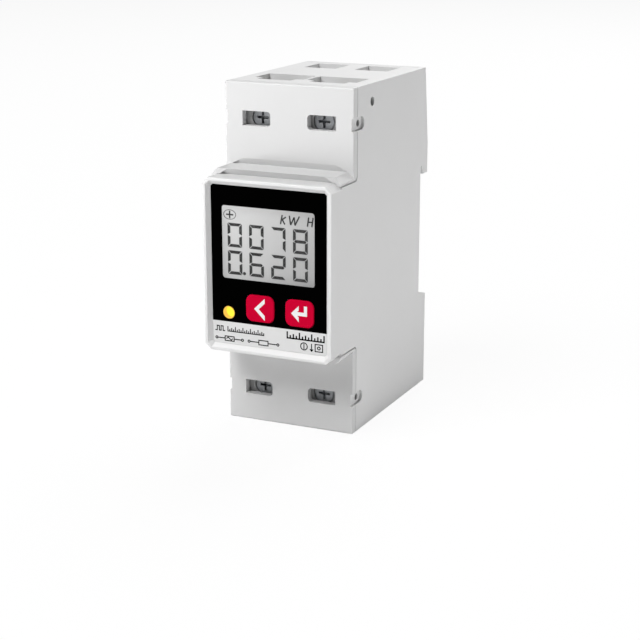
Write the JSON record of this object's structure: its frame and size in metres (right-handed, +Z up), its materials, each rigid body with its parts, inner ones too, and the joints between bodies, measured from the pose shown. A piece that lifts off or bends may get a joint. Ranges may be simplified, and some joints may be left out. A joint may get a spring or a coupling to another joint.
{
  "type": "smart energy meter",
  "caption": "Modular rail-mounted electricity meter with a grey case, display window, push keys, pulse lamp, sealable terminal covers and a sprung rail clip.",
  "frame": {"origin": "centre line of the rail, in the plane where the case seats on the rail's front", "axes": "+X to the right seen from the front, +Y from the front towards the rail, +Z up"},
  "size_m": [0.0358, 0.0645, 0.09],
  "materials": {
    "housing_plastic": "satin",
    "base_plastic": "satin",
    "cover_plastic": "satin",
    "carrier_plastic": "matte",
    "clip_plastic": "satin",
    "fascia_film": "gloss",
    "label_film": "satin",
    "window_clear": "gloss, clear",
    "lcd_glass": "satin, grey behind",
    "lcd_ink": "matte",
    "backlight_plastic": "satin",
    "frame_plastic": "matte",
    "board_laminate": "satin",
    "key_red": "satin",
    "key_white": "satin",
    "switch_plastic": "satin",
    "lamp_epoxy": "gloss, clear tint",
    "chip_epoxy": "matte",
    "header_plastic": "satin",
    "capacitor_box": "gloss",
    "capacitor_can": "sleeved, satin",
    "varistor_epoxy": "satin",
    "resistor_ceramic": "matte",
    "crystal_can": "satin",
    "copper_bar": "satin",
    "resistance_alloy": "satin",
    "plated_brass": "nickel plated, satin",
    "zinc_steel": "zinc plated, satin",
    "spring_steel": "bright drawn",
    "lead_insulation": "satin"
  },
  "bodies": {
    "case": {"front_housing": "housing_plastic", "rear_base": "base_plastic", "base_screws": "zinc_steel", "upper_terminal_cover": "cover_plastic", "lower_terminal_cover": "cover_plastic", "upper_terminal_carrier": "carrier_plastic", "lower_terminal_carrier": "carrier_plastic", "rail_clip_spring": "spring_steel", "face_panel": "fascia_film", "rating_label": "label_film", "display_window": "window_clear", "lcd_glass": "lcd_glass", "lcd_segments": "lcd_ink", "backlight_plate": "backlight_plastic", "lcd_frame": "frame_plastic", "display_board": "board_laminate", "main_board": "board_laminate", "key_switches": "switch_plastic", "pulse_lamp": "lamp_epoxy", "microcontroller": "chip_epoxy", "metering_chip": "chip_epoxy", "optocoupler": "chip_epoxy", "board_header": "header_plastic", "mains_capacitor": "capacitor_box", "smoothing_capacitors": "capacitor_can", "varistor": "varistor_epoxy", "inrush_resistor": "resistor_ceramic", "crystal": "crystal_can", "phase_busbar_in": "copper_bar", "phase_busbar_out": "copper_bar", "neutral_busbar": "copper_bar", "shunt": "resistance_alloy", "sense_leads": "lead_insulation", "terminal_cage_1": "plated_brass", "terminal_cage_2": "plated_brass", "terminal_cage_3": "plated_brass", "terminal_cage_4": "plated_brass"},
    "left_key": {"key_left": "key_red", "key_left_arrow": "key_white", "key_left_plunger": "switch_plastic"},
    "right_key": {"key_right": "key_red", "key_right_arrow": "key_white", "key_right_plunger": "switch_plastic"},
    "clip": {"rail_clip": "clip_plastic"},
    "screw_1": {"terminal_screw_1": "zinc_steel"},
    "screw_2": {"terminal_screw_2": "zinc_steel"},
    "screw_3": {"terminal_screw_3": "zinc_steel"},
    "screw_4": {"terminal_screw_4": "zinc_steel"}
  },
  "joints": [
    {"name": "key_left_press", "type": "slide", "parent": "case", "child": "left_key", "axis": [0, 1, 0], "range_m": [0, 0.0004], "stiffness_N_per_m": 2500, "springref_m": -0.0002},
    {"name": "key_right_press", "type": "slide", "parent": "case", "child": "right_key", "axis": [0, 1, 0], "range_m": [0, 0.0004], "stiffness_N_per_m": 2500, "springref_m": -0.0002},
    {"name": "rail_clip_pull", "type": "slide", "parent": "case", "child": "clip", "axis": [0, 0, -1], "range_m": [0, 0.004], "stiffness_N_per_m": 1500, "springref_m": -0.002, "deforming": ["rail_clip_spring"]},
    {"name": "terminal_screw_1_drive", "type": "slide", "parent": "case", "child": "screw_1", "axis": [0, 1, 0], "range_m": [0, 0.0055]},
    {"name": "terminal_screw_2_drive", "type": "slide", "parent": "case", "child": "screw_2", "axis": [0, 1, 0], "range_m": [0, 0.0055]},
    {"name": "terminal_screw_3_drive", "type": "slide", "parent": "case", "child": "screw_3", "axis": [0, 1, 0], "range_m": [0, 0.0055]},
    {"name": "terminal_screw_4_drive", "type": "slide", "parent": "case", "child": "screw_4", "axis": [0, 1, 0], "range_m": [0, 0.0055]}
  ]
}
